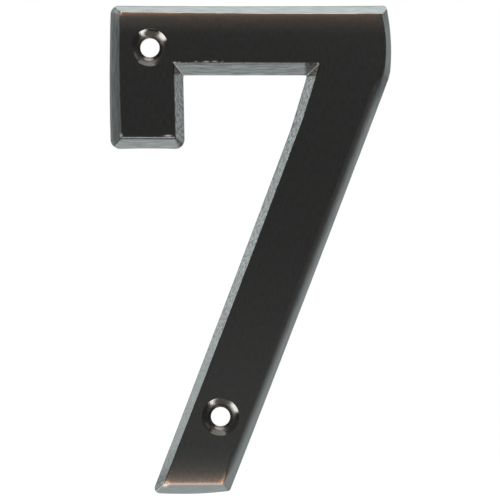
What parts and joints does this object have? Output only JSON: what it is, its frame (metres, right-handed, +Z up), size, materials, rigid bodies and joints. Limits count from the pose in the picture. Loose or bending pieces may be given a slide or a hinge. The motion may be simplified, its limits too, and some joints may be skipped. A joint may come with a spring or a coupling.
{
  "type": "house number",
  "caption": "Cast metal numeral seven for a door or wall, with ground bevels round a flat face and countersunk screw holes through it.",
  "frame": {"origin": "middle of the numeral's bounding rectangle, on its flat back, where it meets the wall", "axes": "+Z up along the numeral's height, +X to the right of someone reading it, +Y into the wall, so the face looks along -Y"},
  "size_m": [0.0586, 0.006, 0.1016],
  "materials": {
    "dark_bronze": "dark bronzed and lacquered, satin, rubbed to copper along some edges"
  },
  "bodies": {
    "root": {"house_number": "dark_bronze"}
  },
  "joints": []
}
